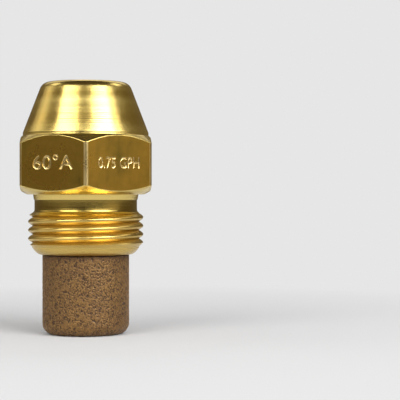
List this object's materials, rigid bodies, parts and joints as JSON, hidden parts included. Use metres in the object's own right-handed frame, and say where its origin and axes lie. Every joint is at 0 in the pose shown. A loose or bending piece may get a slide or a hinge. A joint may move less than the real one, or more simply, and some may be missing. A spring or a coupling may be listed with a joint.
{
  "type": "oil burner nozzle",
  "caption": "Oil burner nozzle: hexagon brass body with a conical nose, steel orifice disc, inner distributor and locking screw, outer thread, and a sintered bronze filter on a screwed bush.",
  "frame": {"origin": "middle of the filter's closed end, the lowest point of the nozzle as it stands", "axes": "+Z along the nozzle's axis in the spray direction, from the filter to the orifice; +X square to a spanner flat; a corner of the hexagon points along -Y"},
  "size_m": [0.016, 0.0184, 0.0312],
  "materials": {
    "turned_brass": "turned and polished cone and thread, drawn hexagon flats",
    "orifice_steel": "face-turned stainless steel",
    "distributor_steel": "hardened and ground",
    "screw_brass": "as turned",
    "bush_brass": "as turned",
    "sintered_bronze": "open-pored sintered bronze grains"
  },
  "bodies": {
    "nozzle": {"nozzle_body": "turned_brass", "orifice_disc": "orifice_steel"},
    "distributor": {"distributor": "distributor_steel"},
    "locking_screw": {"locking_screw": "screw_brass"},
    "filter_cup": {"filter_cup": "sintered_bronze"},
    "filter_bush": {"filter_bush": "bush_brass"}
  },
  "joints": [
    {"name": "distributor_slide", "type": "slide", "parent": "nozzle", "child": "distributor", "axis": [0, 0, -1], "range_m": [0, 0.003]},
    {"name": "locking_screw_turn", "type": "hinge", "parent": "distributor", "child": "locking_screw", "pos_m": [0, 0, 0.0192], "axis": [0, 0, -1], "range_deg": [0, 1440.1]},
    {"name": "filter_slide", "type": "slide", "parent": "nozzle", "child": "filter_cup", "axis": [0, 0, -1], "range_m": [0, 0.0045]},
    {"name": "filter_bush_turn", "type": "hinge", "parent": "filter_cup", "child": "filter_bush", "pos_m": [0, 0, 0.0096], "axis": [0, 0, -1], "range_deg": [0, 2160.1]}
  ],
  "couplings": [
    {"joint": "locking_screw_turn", "follows": "distributor_slide", "rad_per_m": 8377.6},
    {"joint": "filter_bush_turn", "follows": "filter_slide", "rad_per_m": 8377.6}
  ]
}
